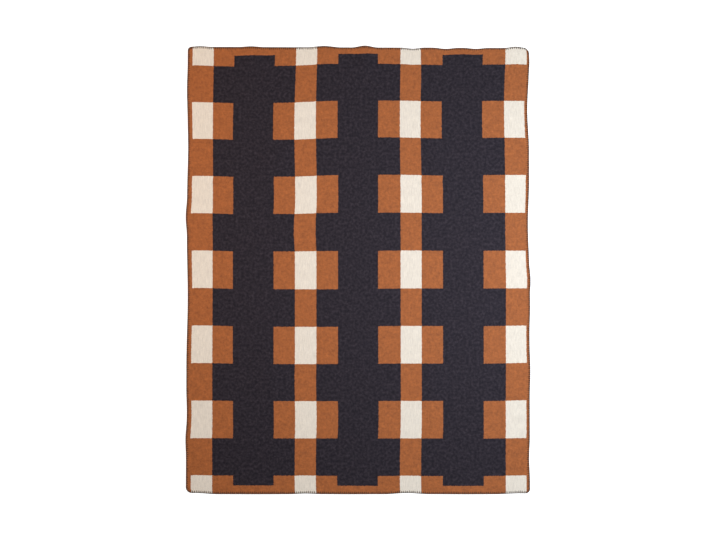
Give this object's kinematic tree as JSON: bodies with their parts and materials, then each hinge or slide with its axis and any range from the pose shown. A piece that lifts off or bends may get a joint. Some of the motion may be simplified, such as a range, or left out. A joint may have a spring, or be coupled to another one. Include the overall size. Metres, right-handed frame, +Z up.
{
  "type": "throw blanket",
  "caption": "Rectangular woven wool throw spread out flat, with rounded corners, slightly uneven edges and an overcast rim, checked in rust, cream and near-black.",
  "frame": {"origin": "on the surface the throw lies on, under the middle of its outline", "axes": "+Z up, away from the surface; +Y along the throw's length towards the head edge; +X across it to the right"},
  "size_m": [1.3104, 1.703, 0.0064],
  "materials": {
    "wool_cloth": "matte felted wool, near-black ground with rust and cream blocks",
    "edge_yarn": "matte wool yarn, dark brown, overcast round the rim"
  },
  "bodies": {
    "root": {"woven_throw": "wool_cloth"}
  },
  "joints": []
}
